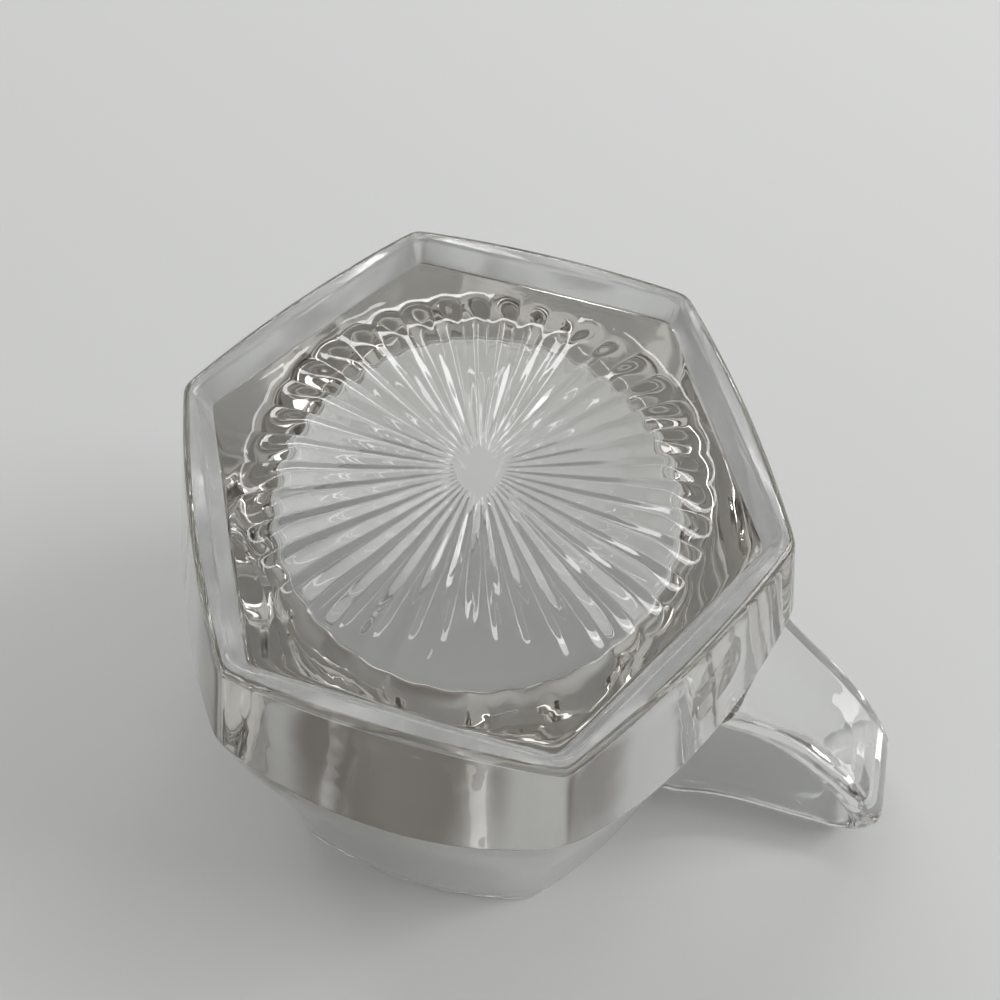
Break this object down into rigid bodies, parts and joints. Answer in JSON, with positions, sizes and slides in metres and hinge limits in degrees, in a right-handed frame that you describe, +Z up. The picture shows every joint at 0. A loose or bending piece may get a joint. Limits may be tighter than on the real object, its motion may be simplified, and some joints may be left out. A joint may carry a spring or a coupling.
{
  "type": "cream jug",
  "caption": "Small clear pressed-glass cream jug with bowed panels, a star cut under the base, a strap handle and a pouring lip.",
  "frame": {"origin": "centre of the foot, on the plane that the jug stands on", "axes": "+Z up through the open top, +X towards the handle, -X towards the pouring lip, the jug is the same on both sides of the XZ plane"},
  "size_m": [0.1274, 0.0794, 0.082],
  "materials": {
    "clear_glass": "fire-polished, clear and colourless"
  },
  "bodies": {
    "root": {"star_base": "clear_glass", "body_wall": "clear_glass", "pouring_lip": "clear_glass", "handle": "clear_glass"}
  },
  "joints": []
}
